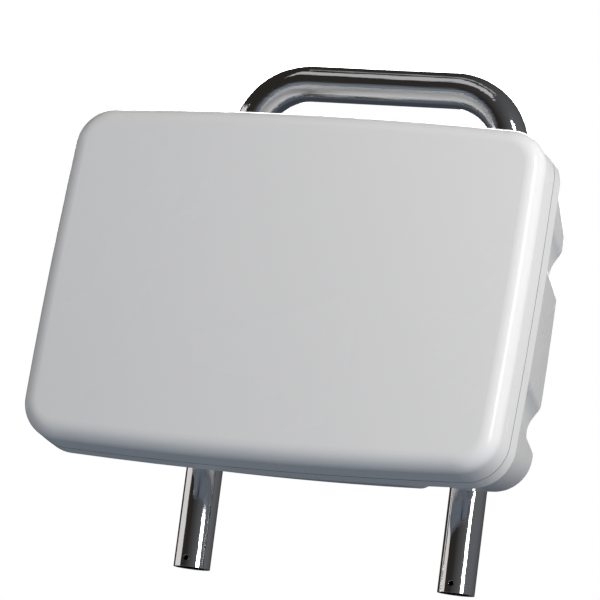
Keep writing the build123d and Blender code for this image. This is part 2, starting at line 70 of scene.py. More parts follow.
class Graph:
    """Places and links the nodes of one node tree."""

    def __init__(self, tree: bpy.types.NodeTree) -> None:
        """Keeps the tree.

        Args:
            tree: the node tree to fill.
        """
        self.tree = tree

    def add(self, kind: str, **settings: object) -> bpy.types.Node:
        """Adds a node.

        Args:
            kind: Blender's name for the type of node.
            settings: attributes to set on it.

        Returns:
            The new node.
        """
        node = self.tree.nodes.new(kind)
        for name, value in settings.items():
            setattr(node, name, value)
        return node

    def link(self, source: bpy.types.NodeSocket, target: bpy.types.NodeSocket) -> None:
        """Joins an output socket to an input socket."""
        self.tree.links.new(source, target)

    def feed(self, target: bpy.types.NodeSocket, value: object) -> None:
        """Links a socket, or sets a constant, on an input.

        Args:
            target: the input socket.
            value: an output socket, or the constant.
        """
        if isinstance(value, bpy.types.NodeSocket):
            self.link(value, target)
        else:
            target.default_value = value

    def maths(self, operation: str, first: object, second: object = 0.0) -> bpy.types.NodeSocket:
        """Adds a Math node.

        Args:
            operation: Blender's name for the operation.
            first: socket or number for its first input.
            second: socket or number for its second input.

        Returns:
            The node's output.
        """
        node = self.add("ShaderNodeMath", operation=operation)
        self.feed(node.inputs[0], first)
        self.feed(node.inputs[1], second)
        return node.outputs[0]

    def spread(
        self, value: object, low: float, high: float, to_low: float, to_high: float
    ) -> bpy.types.NodeSocket:
        """Maps a value from one range to another, clamped.

        Args:
            value: socket to map.
            low: start of its range.
            high: end of its range.
            to_low: what low becomes.
            to_high: what high becomes.

        Returns:
            The mapped value.
        """
        node = self.add("ShaderNodeMapRange")
        for index, number in enumerate((value, low, high, to_low, to_high)):
            self.feed(node.inputs[index], number)
        return node.outputs[0]

    def blend(self, factor: object, first: object, second: object) -> bpy.types.NodeSocket:
        """Mixes two colours.

        Args:
            factor: socket or number, 0 for the first colour and 1 for the second.
            first: socket or RGBA colour.
            second: socket or RGBA colour.

        Returns:
            The mixed colour.
        """
        node = self.add("ShaderNodeMix", data_type="RGBA")
        self.feed(node.inputs[0], factor)
        self.feed(node.inputs[6], first)
        self.feed(node.inputs[7], second)
        return node.outputs[2]

    def place(self, group: bpy.types.NodeTree, **values: object) -> bpy.types.Node:
        """Puts a node group in the tree.

        Args:
            group: the group's tree.
            values: its input values, with spaces in the names written as underscores.

        Returns:
            The group node.
        """
        node = self.add("ShaderNodeGroup", node_tree=group)
        for name, value in values.items():
            self.feed(node.inputs[name.replace("_", " ")], value)
        return node


def rgba(colour: Colour) -> tuple[float, float, float, float]:
    """Gives a colour its alpha of one."""
    return (*colour, 1.0)


class SocketKind(Enum):
    """Kinds of socket that the node groups use."""

    NUMBER = "NodeSocketFloat"
    VECTOR = "NodeSocketVector"


class Effects:
    """Node groups that several materials share, each built once."""

    def __init__(self) -> None:
        """Builds every group."""
        self.drift = self._drift()
        self.grain = self._grain()
        self.smudge = self._smudge()
        self.edge = self._edge()
        self.settled = self._settled()
        self.parting = self._parting()

    @staticmethod
    def _group(
        name: str,
        inputs: Sequence[tuple[str, SocketKind, object]],
        outputs: Sequence[tuple[str, SocketKind]],
    ) -> tuple[Graph, bpy.types.Node, bpy.types.Node]:
        """Starts a node group.

        Args:
            name: the group's name.
            inputs: name, kind and default of each input.
            outputs: name and kind of each output.

        Returns:
            The group's graph, its input node and its output node.
        """
        tree = bpy.data.node_groups.new(name, "ShaderNodeTree")
        for label, kind, default in inputs:
            socket = tree.interface.new_socket(label, in_out="INPUT", socket_type=kind.value)
            socket.default_value = default
        for label, kind in outputs:
            tree.interface.new_socket(label, in_out="OUTPUT", socket_type=kind.value)
        graph = Graph(tree)
        return graph, graph.add("NodeGroupInput"), graph.add("NodeGroupOutput")

    @staticmethod
    def _coordinates(graph: Graph, stretch: object = (1.0, 1.0, 1.0)) -> bpy.types.NodeSocket:
        """Object coordinates, scaled along each axis.

        Args:
            graph: where to place the nodes.
            stretch: socket or triple, the scale along each axis.

        Returns:
            The scaled coordinates.
        """
        where = graph.add("ShaderNodeTexCoord")
        mapping = graph.add("ShaderNodeMapping")
        graph.link(where.outputs["Object"], mapping.inputs["Vector"])
        graph.feed(mapping.inputs["Scale"], stretch)
        return mapping.outputs[0]

    @staticmethod
    def _noise(
        graph: Graph, where: bpy.types.NodeSocket, scale: object, detail: float, distortion: float = 0.0
    ) -> bpy.types.NodeSocket:
        """Adds a noise.

        Args:
            graph: where to place the node.
            where: the coordinates.
            scale: socket or number, the noise's scale.
            detail: how many finer layers it has.
            distortion: how far it is warped.

        Returns:
            The noise, from 0 to 1.
        """
        noise = graph.add("ShaderNodeTexNoise")
        graph.link(where, noise.inputs["Vector"])
        graph.feed(noise.inputs["Scale"], scale)
        noise.inputs["Detail"].default_value = detail
        noise.inputs["Distortion"].default_value = distortion
        return noise.outputs[0]

    def _drift(self) -> bpy.types.NodeTree:
        """Slow cloudy change over a moulded or rubbed surface, with its fine ripple.

        Returns:
            The group, which puts out Cloud from 0 to 1 and Ripple for a bump.
        """
        graph, given, result = self._group(
            "slow_drift",
            [("Cloud Scale", SocketKind.NUMBER, 8.0), ("Ripple Scale", SocketKind.NUMBER, 300.0)],
            [("Cloud", SocketKind.NUMBER), ("Ripple", SocketKind.NUMBER)],
        )
        where = self._coordinates(graph)
        for scale, output, detail in (("Cloud Scale", "Cloud", 3.0), ("Ripple Scale", "Ripple", 1.0)):
            graph.link(self._noise(graph, where, given.outputs[scale], detail), result.inputs[output])
        return graph.tree

    def _grain(self) -> bpy.types.NodeTree:
        """Lines left by polishing or turning, drawn out along one axis.

        Returns:
            The group, which puts out Lines from 0 to 1.
        """
        graph, given, result = self._group(
            "drawn_grain",
            [("Stretch", SocketKind.VECTOR, (600.0, 600.0, 6.0)), ("Contrast", SocketKind.NUMBER, 1.0)],
            [("Lines", SocketKind.NUMBER)],
        )
        noise = self._noise(graph, self._coordinates(graph, given.outputs["Stretch"]), 1.0, 4.0)
        centred = graph.maths("SUBTRACT", noise, 0.5)
        scaled = graph.maths("MULTIPLY", centred, given.outputs["Contrast"])
        graph.link(graph.maths("ADD", scaled, 0.5), result.inputs["Lines"])
        return graph.tree

    def _smudge(self) -> bpy.types.NodeTree:
        """Patches where hands or a cloth have left a film.

        Returns:
            The group, which puts out Film from 0 to 1.
        """
        graph, given, result = self._group(
            "handled_film",
            [("Patch Scale", SocketKind.NUMBER, 14.0), ("Coverage", SocketKind.NUMBER, 0.4)],
            [("Film", SocketKind.NUMBER)],
        )
        broad = self._noise(graph, self._coordinates(graph), given.outputs["Patch Scale"], 5.0, 0.6)
        threshold = graph.maths("SUBTRACT", 0.85, given.outputs["Coverage"])
        above = graph.maths("SUBTRACT", broad, threshold)
        graph.link(graph.spread(above, 0.0, 0.25, 0.0, 1.0), result.inputs["Film"])
        return graph.tree

    def _edge(self) -> bpy.types.NodeTree:
        """Softened corners: a rounded normal, and a mask of where the corner is.

        Returns:
            The group, which puts out Corner from 0 to 1 and the rounded Normal.
        """
        graph, given, result = self._group(
            "softened_corner",
            [("Radius", SocketKind.NUMBER, 0.0005), ("Contrast", SocketKind.NUMBER, 3.0)],
            [("Corner", SocketKind.NUMBER), ("Normal", SocketKind.VECTOR)],
        )
        bevel = graph.add("ShaderNodeBevel", samples=6)
        graph.link(given.outputs["Radius"], bevel.inputs["Radius"])
        flat = graph.add("ShaderNodeNewGeometry")
        dot = graph.add("ShaderNodeVectorMath", operation="DOT_PRODUCT")
        graph.link(bevel.outputs[0], dot.inputs[0])
        graph.link(flat.outputs["Normal"], dot.inputs[1])
        lost = graph.maths("SUBTRACT", 1.0, dot.outputs["Value"])
        node = graph.add("ShaderNodeMath", operation="MULTIPLY", use_clamp=True)
        graph.link(lost, node.inputs[0])
        graph.link(given.outputs["Contrast"], node.inputs[1])
        graph.link(node.outputs[0], result.inputs["Corner"])
        graph.link(bevel.outputs[0], result.inputs["Normal"])
        return graph.tree

    def _settled(self) -> bpy.types.NodeTree:
        """Fine dust that lies on faces that look upward.

        Returns:
            The group, which puts out Dust from 0 to 1.
        """
        graph, given, result = self._group(
            "settled_dust",
            [("Amount", SocketKind.NUMBER, 0.3), ("Speck Scale", SocketKind.NUMBER, 90.0)],
            [("Dust", SocketKind.NUMBER)],
        )
        facing = graph.add("ShaderNodeNewGeometry")
        parts = graph.add("ShaderNodeSeparateXYZ")
        graph.link(facing.outputs["Normal"], parts.inputs[0])
        upward = graph.spread(parts.outputs[2], 0.35, 1.0, 0.0, 1.0)
        specks = self._noise(graph, self._coordinates(graph), given.outputs["Speck Scale"], 6.0)
        patchy = graph.spread(specks, 0.35, 0.75, 0.0, 1.0)
        lying = graph.maths("MULTIPLY", upward, patchy)
        graph.link(graph.maths("MULTIPLY", lying, given.outputs["Amount"]), result.inputs["Dust"])
        return graph.tree

    def _parting(self) -> bpy.types.NodeTree:
        """Painted shade in a flat gap between two mouldings, standing in for the shadow that falls in the
        gap.

        Returns:
            The group, which puts out the painted shade, 1 between two parallel planes and 0 elsewhere.
        """
        graph, given, result = self._group(
            "parting_shade_painted",
            [
                ("Direction", SocketKind.VECTOR, (0.0, 0.0, 1.0)),
                ("Low", SocketKind.NUMBER, 0.0),
                ("High", SocketKind.NUMBER, 0.001),
                ("Softness", SocketKind.NUMBER, 0.0001),
            ],
            [("Painted Shade", SocketKind.NUMBER)],
        )
        where = graph.add("ShaderNodeTexCoord")
        along = graph.add("ShaderNodeVectorMath", operation="DOT_PRODUCT")
        graph.link(where.outputs["Object"], along.inputs[0])
        graph.link(given.outputs["Direction"], along.inputs[1])
        width = graph.maths("SUBTRACT", given.outputs["High"], given.outputs["Low"])
        half = graph.maths("MULTIPLY", width, 0.5)
        middle = graph.maths("ADD", given.outputs["Low"], half)
        away = graph.maths("ABSOLUTE", graph.maths("SUBTRACT", along.outputs["Value"], middle))
        inside = graph.maths("SUBTRACT", graph.maths("ADD", half, given.outputs["Softness"]), away)
        share = graph.add("ShaderNodeMath", operation="DIVIDE", use_clamp=True)
        graph.link(inside, share.inputs[0])
        graph.link(given.outputs["Softness"], share.inputs[1])
        graph.link(share.outputs[0], result.inputs["Painted Shade"])
        return graph.tree


EFFECTS = Effects()


# ----------------------------------------------------------------------------------------------
# Finishes
# ----------------------------------------------------------------------------------------------


@dataclass(frozen=True)
class Finish:
    """One surface finish, with the values that its shared effects take."""

    name: str
    slot: str | None
    colour: Colour
    cloud_colour: Colour
    roughness: float
    roughness_film: float
    metallic: float = 0.0
    specular: float = 0.5
    coat: float = 0.0
    coat_roughness: float = 0.05
    cloud_scale: float = 8.0
    cloud_amount: float = 0.5
    ripple_scale: float = 400.0
    ripple_height: float = 0.00002
    film_scale: float = 14.0
    film_coverage: float = 0.35
    corner_radius: float = 0.0005
    corner_colour: Colour | None = None
    corner_amount: float = 0.4
    dust_amount: float = 0.0
    dust_colour: Colour = (0.62, 0.6, 0.56)
    grain_stretch: Triple | None = None
    grain_contrast: float = 1.0
    grain_roughness: float = 0.0
    grain_height: float = 0.0
    grain_turned_above: float | None = None
    grain_turn: float = 0.02
    # gap and its colour paint shade into a seam between two mouldings, standing in for the shadow in it
    gap: tuple[Triple, float, float] | None = None
    gap_shade_colour: Colour = (0.36, 0.362, 0.366)
    glow: float = 0.0

    def material(self) -> bpy.types.Material:
        """Finds or builds the finish's material.

        Returns:
            The material.
        """
        if self.name in MATERIALS:
            return MATERIALS[self.name]
        material = MATERIALS[self.name] = bpy.data.materials.new(self.name)
        material.use_nodes = True
        graph = Graph(material.node_tree)
        shader = material.node_tree.nodes["Principled BSDF"]
        shader.inputs["Metallic"].default_value = self.metallic
        shader.inputs["Specular IOR Level"].default_value = self.specular
        shader.inputs["Coat Weight"].default_value = self.coat
        shader.inputs["Coat Roughness"].default_value = self.coat_roughness
        drift = graph.place(EFFECTS.drift, Cloud_Scale=self.cloud_scale, Ripple_Scale=self.ripple_scale)
        film = graph.place(EFFECTS.smudge, Patch_Scale=self.film_scale, Coverage=self.film_coverage)
        corner = graph.place(EFFECTS.edge, Radius=self.corner_radius)
        colour = self._colour(graph, drift, corner)
        graph.link(colour, shader.inputs["Base Color"])
        if self.glow > 0.0:
            graph.link(colour, shader.inputs["Emission Color"])
            shader.inputs["Emission Strength"].default_value = self.glow
        roughness = graph.spread(film.outputs["Film"], 0.0, 1.0, self.roughness, self.roughness_film)
        height = graph.maths("MULTIPLY", drift.outputs["Ripple"], self.ripple_height)
        if self.grain_stretch is not None:
            lines = self._grain(graph)
            centred = graph.maths("SUBTRACT", lines, 0.5)
            added = graph.maths("MULTIPLY", centred, self.grain_roughness)
            roughness = graph.maths("ADD", roughness, added)
            cut = graph.maths("MULTIPLY", lines, self.grain_height)
            height = graph.maths("ADD", height, cut)
        graph.link(roughness, shader.inputs["Roughness"])
        bump = graph.add("ShaderNodeBump")
        bump.inputs["Distance"].default_value = 1.0
        graph.link(height, bump.inputs["Height"])
        graph.link(corner.outputs["Normal"], bump.inputs["Normal"])
        graph.link(bump.outputs[0], shader.inputs["Normal"])
        return material

    def _grain(self, graph: Graph) -> bpy.types.NodeSocket:
        """Lines along the upright parts and, above a stated height, along the crosswise one.

        Args:
            graph: the material's graph.

        Returns:
            The lines, from 0 to 1.
        """
        upright = graph.place(EFFECTS.grain, Stretch=self.grain_stretch, Contrast=self.grain_contrast)
        if self.grain_turned_above is None:
            return upright.outputs["Lines"]
        turned_stretch = (self.grain_stretch[2], self.grain_stretch[1], self.grain_stretch[0])
        crosswise = graph.place(EFFECTS.grain, Stretch=turned_stretch, Contrast=self.grain_contrast)
        where = graph.add("ShaderNodeTexCoord")
        parts = graph.add("ShaderNodeSeparateXYZ")
        graph.link(where.outputs["Object"], parts.inputs[0])
        top = self.grain_turned_above
        high = graph.spread(parts.outputs[2], top - self.grain_turn, top, 0.0, 1.0)
        node = graph.add("ShaderNodeMix", data_type="FLOAT")
        graph.link(high, node.inputs[0])
        graph.link(upright.outputs["Lines"], node.inputs[2])
        graph.link(crosswise.outputs["Lines"], node.inputs[3])
        return node.outputs[0]

    def _colour(self, graph: Graph, drift: bpy.types.Node, corner: bpy.types.Node) -> bpy.types.NodeSocket:
        """Lays the cloud, the corner colour, dust and the painted shade of the gap over the base colour.

        Args:
            graph: the material's graph.
            drift: the placed slow_drift group.
            corner: the placed softened_corner group.

        Returns:
            The final colour.
        """
        cloud = graph.spread(drift.outputs["Cloud"], 0.3, 0.7, 0.0, self.cloud_amount)
        colour = graph.blend(cloud, rgba(self.colour), rgba(self.cloud_colour))
        if self.corner_colour is not None:
            corner_share = graph.maths("MULTIPLY", corner.outputs["Corner"], self.corner_amount)
            colour = graph.blend(corner_share, colour, rgba(self.corner_colour))
        if self.dust_amount > 0.0:
            dust = graph.place(EFFECTS.settled, Amount=self.dust_amount)
            colour = graph.blend(dust.outputs["Dust"], colour, rgba(self.dust_colour))
        # painted shade: a darker band across the seam gap and its lips, in place of the shadow there
        if self.gap is not None:
            direction, low, high = self.gap
            seam_shade = graph.place(EFFECTS.parting, Direction=direction, Low=low, High=high)
            colour = graph.blend(seam_shade.outputs["Painted Shade"], colour, rgba(self.gap_shade_colour))
        return colour

    def dress(self, piece: bpy.types.Object) -> None:
        """Gives the piece this finish alone.

        Args:
            piece: a built piece or a carried-over CAD node.
        """
        if piece.data.materials:
            for index in range(len(piece.data.materials)):
                piece.data.materials[index] = self.material()
        else:
            piece.data.materials.append(self.material())


WHITE_MOULDING = Finish(
    name="glossy_white_moulding",
    slot="white_moulding",
    colour=(0.865, 0.86, 0.853),
    cloud_colour=(0.845, 0.841, 0.836),
    roughness=0.27,
    roughness_film=0.34,
    specular=0.12,
    coat=0.22,
    coat_roughness=0.07,
    cloud_scale=5.0,
    ripple_scale=170.0,
    ripple_height=0.000012,
    film_scale=9.0,
    film_coverage=0.3,
    corner_radius=0.0003,
    corner_colour=(0.88, 0.88, 0.875),
    dust_amount=0.05,
)
POLISHED_TUBE = Finish(
    name="polished_tube",
    slot="polished_stainless",
    colour=(0.62, 0.625, 0.635),
    cloud_colour=(0.57, 0.575, 0.585),
    metallic=1.0,
    roughness=0.05,
    roughness_film=0.12,
    cloud_scale=16.0,
    ripple_scale=60.0,
    ripple_height=0.00003,
    film_scale=22.0,
    film_coverage=0.34,
    corner_radius=0.0003,
    dust_amount=0.03,
    grain_stretch=(240.0, 240.0, 9.0),
    grain_contrast=1.8,
    grain_roughness=0.06,
    grain_height=0.0001,
    grain_turned_above=0.415,
)
SATIN_STEEL = Finish(
    name="satin_steel",
    slot="satin_stainless",
    colour=(0.56, 0.56, 0.57),
    cloud_colour=(0.5, 0.5, 0.515),
    metallic=1.0,
    roughness=0.32,
    roughness_film=0.42,
    ripple_scale=900.0,
    ripple_height=0.00002,
    corner_radius=0.0006,
    corner_colour=(0.72, 0.72, 0.73),
    dust_amount=0.1,
    grain_stretch=(30.0, 900.0, 900.0),
    grain_roughness=0.12,
    grain_height=0.00001,
)
TURNED_STEEL = Finish(
    name="turned_steel",
    slot="stainless_fixings",
    colour=(0.6, 0.6, 0.61),
    cloud_colour=(0.52, 0.52, 0.535),
    metallic=1.0,
    roughness=0.24,
    roughness_film=0.36,
    cloud_scale=120.0,
    ripple_scale=1800.0,
    ripple_height=0.000006,
    film_scale=160.0,
    corner_radius=0.0002,
    corner_colour=(0.74, 0.74, 0.75),
    grain_stretch=(60.0, 60.0, 4200.0),
    grain_roughness=0.1,
    grain_height=0.000004,
)
WHITE_NYLON = Finish(
    name="moulded_white_nylon",
    slot="white_nylon",
    colour=(0.66, 0.66, 0.65),
    cloud_colour=(0.61, 0.61, 0.6),
    roughness=0.42,
    roughness_film=0.5,
    ripple_scale=1500.0,
    ripple_height=0.00003,
    corner_radius=0.0006,
    corner_colour=(0.74, 0.74, 0.73),
    dust_amount=0.12,
)
BLACK_NYLON = Finish(
    name="moulded_black_nylon",
    slot="black_nylon",
    colour=(0.022, 0.022, 0.024),
    cloud_colour=(0.03, 0.03, 0.032),
    roughness=0.42,
    roughness_film=0.55,
    ripple_scale=2200.0,
    ripple_height=0.00003,
    corner_radius=0.0003,
    corner_colour=(0.09, 0.09, 0.095),
    dust_amount=0.15,
)
BLACK_RUBBER = Finish(
    name="soft_black_rubber",
    slot="black_rubber",
    colour=(0.018, 0.018, 0.018),
    cloud_colour=(0.026, 0.026, 0.027),
    roughness=0.68,
    roughness_film=0.8,
    specular=0.35,
    ripple_scale=2600.0,
    ripple_height=0.00004,
    corner_radius=0.0003,
    dust_amount=0.2,
)
TURNED_BRASS = replace(
    TURNED_STEEL,
    name="turned_brass",
    slot="brass",
    colour=(0.66, 0.47, 0.2),
    cloud_colour=(0.52, 0.36, 0.15),
    roughness=0.26,
    roughness_film=0.42,
    cloud_scale=160.0,
    film_scale=14.0,
    corner_colour=(0.78, 0.6, 0.3),
)
STUDIO_PAINT = Finish(
    name="studio_floor",
    slot=None,
    colour=(0.08, 0.08, 0.0796),
    cloud_colour=(0.078, 0.078, 0.0776),
    roughness=0.7,
    roughness_film=0.75,
    specular=0.1,
    cloud_scale=1.2,
    ripple_scale=60.0,
    ripple_height=0.0,
    glow=11.0,
)


# ----------------------------------------------------------------------------------------------
# Mesh building
# ----------------------------------------------------------------------------------------------


def hexagon(flats: float) -> Outline:
    """Radius of a hexagon at each angle.

    Args:
        flats: distance across the flats.

    Returns:
        The radius as a function of the angle, with flats across the first axis.
    """
    sixth = math.pi / 3

    def radius(angle: float) -> float:
        """Radius at one angle."""
        return flats / 2 / math.cos((angle + sixth / 2) % sixth - sixth / 2)

    return radius


def ribbed(outer: float, depth: float, count: int) -> Outline:
    """Radius of a grip with rounded ribs.

    Args:
        outer: radius over the ribs.
        depth: how far the grooves go in.
        count: number of ribs.

    Returns:
        The radius as a function of the angle.
    """

    def radius(angle: float) -> float:
        """Radius at one angle."""
        wave = 0.5 - 0.5 * math.cos(angle * count)
        return outer - depth * wave**3

    return radius


@dataclass(frozen=True)
class Ring:
    """One ring of a turned mesh: its height, its radius and an optional outline that limits it."""

    height: float
    radius: float
    outline: Outline | None = None

    def point(self, angle: float) -> Vector:
        """Finds a point of the ring.

        Args:
            angle: where round the ring it is.

        Returns:
            The point.
        """
        radius = self.radius
        if self.outline is not None:
            radius = min(radius, self.outline(angle))
        return Vector((radius * math.cos(angle), radius * math.sin(angle), self.height))


def thread(low: float, high: float, crest: float, pitch: float, depth: float) -> list[Ring]:
    """Rings of a real helical thread.

    Args:
        low: height where it starts.
        high: height where it ends.
        crest: crest radius.
        pitch: distance between turns.
        depth: crest to root. A negative depth gives an inside thread on that radius.

    Returns:
        The rings, from low to high.
    """
    rings = []
    steps = max(2, round((high - low) / pitch * 6))
    for step in range(steps + 1):
        height = low + (high - low) * step / steps

        def radius(angle: float, height: float = height) -> float:
            """Radius at one angle of one height."""
            turn = (height / pitch - angle / math.tau) % 1.0
            return crest - depth * (1.0 - abs(2.0 * turn - 1.0))

        rings.append(Ring(height, math.inf, radius))
    return rings


def turned(name: str, rings: Sequence[Ring], segments: int = 48, hollow: bool = False) -> bpy.types.Mesh:
    """Builds a turned mesh about the z axis.

    Args:
        name: the mesh's name.
        rings: its rings in order along the profile.
        segments: points round each ring.
        hollow: joins the last ring to the first, in place of closing both ends.

    Returns:
        The mesh.
    """
    mesh = bmesh.new()
    angles = [math.tau * step / segments for step in range(segments)]
    rows = [[mesh.verts.new(ring.point(angle)) for angle in angles] for ring in rings]
    pairs = list(zip(rows, rows[1:]))
    if hollow:
        pairs.append((rows[-1], rows[0]))
    for first, second in pairs:
        for step in range(segments):
            after = (step + 1) % segments
            mesh.faces.new((first[step], first[after], second[after], second[step]))
    if not hollow:
        for row, ring in ((rows[0], rings[0]), (rows[-1], rings[-1])):
            middle = mesh.verts.new((0.0, 0.0, ring.height))
            for step in range(segments):
                mesh.faces.new((row[step], row[(step + 1) % segments], middle))
    bmesh.ops.recalc_face_normals(mesh, faces=mesh.faces)
    return finished(name, mesh)


def finished(name: str, mesh: bmesh.types.BMesh) -> bpy.types.Mesh:
    """Turns a bmesh into a mesh that is smooth except at its edges.

    Args:
        name: the mesh's name.
        mesh: the bmesh, which is freed.

    Returns:
        The mesh.
    """
    data = bpy.data.meshes.new(name)
    mesh.to_mesh(data)
    mesh.free()
    data.shade_smooth()
    data.set_sharp_from_angle(angle=math.radians(SHARP_ANGLE))
    return data


def add_piece(
    name: str,
    mesh: bpy.types.Mesh,
    finish: Finish,
    body: str,
    stands_for: str,
    place: Matrix | None = None,
) -> bpy.types.Object:
    """Adds a piece to the scene, dressed, on its body and in place of a CAD node.

    Args:
        name: the piece's name.
        mesh: its mesh.
        finish: its finish.
        body: the CAD body that it rides on.
        stands_for: the CAD node that it replaces.
        place: where it goes, if its mesh isn't in the row frame already.

    Returns:
        The piece.
    """
    piece = bpy.data.objects.new(name, mesh)
    bpy.context.scene.collection.objects.link(piece)
    if place is not None:
        piece.matrix_world = place
    if not mesh.materials:
        finish.dress(piece)
    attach(piece, body)
    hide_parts(stands_for)
    LOG.info("%s stands for %s on %s, %d faces", name, stands_for, body, len(mesh.polygons))
    return piece


def dress_nodes(finish: Finish, nodes: Iterable[str]) -> None:
    """Gives CAD nodes that stay in view their finish.

    Args:
        finish: the finish.
        nodes: the nodes' names.
    """
    for node in nodes:
        finish.dress(frame["nodes"][node])
        LOG.info("%s keeps its CAD shape, in %s", node, finish.name)


def solids_of(node: str) -> list[list[Vector]]:
    """Points of each separate solid of a CAD node.

    Args:
        node: the node's name.

    Returns:
        One list of points for each solid.
    """
    mesh = bmesh.new()
    mesh.from_mesh(frame["nodes"][node].data)
    bmesh.ops.remove_doubles(mesh, verts=mesh.verts, dist=MM / 100)
    left = set(mesh.verts)
    solids = []
    while left:
        todo = [left.pop()]
        points = []
        while todo:
            vert = todo.pop()
            points.append(vert.co.copy())
            for edge in vert.link_edges:
                other = edge.other_vert(vert)
                if other in left:
                    left.remove(other)
                    todo.append(other)
        solids.append(points)
    mesh.free()
    return solids


@dataclass(frozen=True)
class Axle:
    """Axis of one turned part: its start, its direction and its length."""

    start: Vector
    direction: Vector
    length: float

    def place(self) -> Matrix:
        """Finds where a turned mesh goes, with its x axis along the part's.

        Returns:
            The matrix that puts it on the axle.
        """
        side = Vector((1.0, 0.0, 0.0))
        across = self.direction.cross(side)
        rows = Matrix((side, across, self.direction)).transposed().to_4x4()
        return Matrix.Translation(self.start) @ rows


def axles_of(node: str, direction: Vector) -> list[Axle]:
    """Axes of a CAD node's turned solids.

    Args:
        node: the node's name.
        direction: the way that their axes run, square to the part's x axis.

    Returns:
        One axle for each solid, from its near end along the direction.
    """
    side = Vector((1.0, 0.0, 0.0))
    across = direction.cross(side)
    axles = []
    for points in solids_of(node):
        spans = []
        for axis in (side, across, direction):
            along = [point.dot(axis) for point in points]
            spans.append((min(along), max(along)))
        middle = side * sum(spans[0]) / 2 + across * sum(spans[1]) / 2
        low, high = spans[2]
        axles.append(Axle(middle + direction * low, direction, high - low))
    axles.sort(key=lambda axle: (round(axle.start.x, 3), round(axle.start.z, 3)))
    return axles


def fill_axles(
    node: str,
    label: str,
    direction: Vector,
    make: Callable[[float], bpy.types.Mesh],
    finish: Finish,
    body: str = "pod",
) -> None:
    """Puts the same turned piece on every axle of a CAD node.

    Args:
        node: the CAD node that the pieces replace.
        label: the pieces' name, to which each one's number is added.
        direction: the way that the node's axes run.
        make: builds the mesh from its length.
        finish: the pieces' finish.
        body: the CAD body that they ride on.
    """
    axles = axles_of(node, direction)
    mesh = make(axles[0].length)
    for number, axle in enumerate(axles, start=1):
        add_piece(f"{label}_{number}", mesh, finish, body, node, axle.place())


# ----------------------------------------------------------------------------------------------
# Sub-assemblies
# ----------------------------------------------------------------------------------------------


def pod_forward() -> Vector:
    """Direction out of the pod's face, along which its front comes off."""
    joint = next(joint for joint in frame["joints"] if joint["name"] == "front_removal")
    return Vector(joint["axis"]).normalized()


@dataclass
class Housings:
    """The two white mouldings and the gasket between them."""

    front: str = "front_housing"
    rear: str = "rear_housing"
    gasket: str = "housing_gasket"
    # the painted seam shade reaches this far past the gap on each moulding
    shaded_lip: float = 0.3 * MM

    def seam(self) -> tuple[Triple, float, float]:
        """Finds the gap between the mouldings.

        Returns:
            The direction across the gap, and where along it the painted shade starts and ends: the gap,
            widened by the lip on each side.
        """
        forward = pod_forward()
        low = max(vert.co.dot(forward) for vert in frame["nodes"][self.rear].data.vertices)
        high = min(vert.co.dot(forward) for vert in frame["nodes"][self.front].data.vertices)
        LOG.info("seam gap of %.2f mm", (high - low) / MM)
        return tuple(forward), low - self.shaded_lip, high + self.shaded_lip

    def build(self) -> None:
        """Dresses the mouldings and the gasket."""
        # both mouldings get painted shade across their seam
        dress_nodes(replace(WHITE_MOULDING, gap=self.seam()), (self.front, self.rear))
        dress_nodes(BLACK_RUBBER, [self.gasket])


@dataclass
class Guard:
    """The bent polished tube, with the grommets in its cable holes."""

    tube: str = "guard_tube"
    grommets: tuple[str, ...] = ("tube_grommet_left", "tube_grommet_right")

    def build(self) -> None:
        """Dresses the tube and the grommets."""
        dress_nodes(POLISHED_TUBE, [self.tube])
        dress_nodes(BLACK_RUBBER, self.grommets)


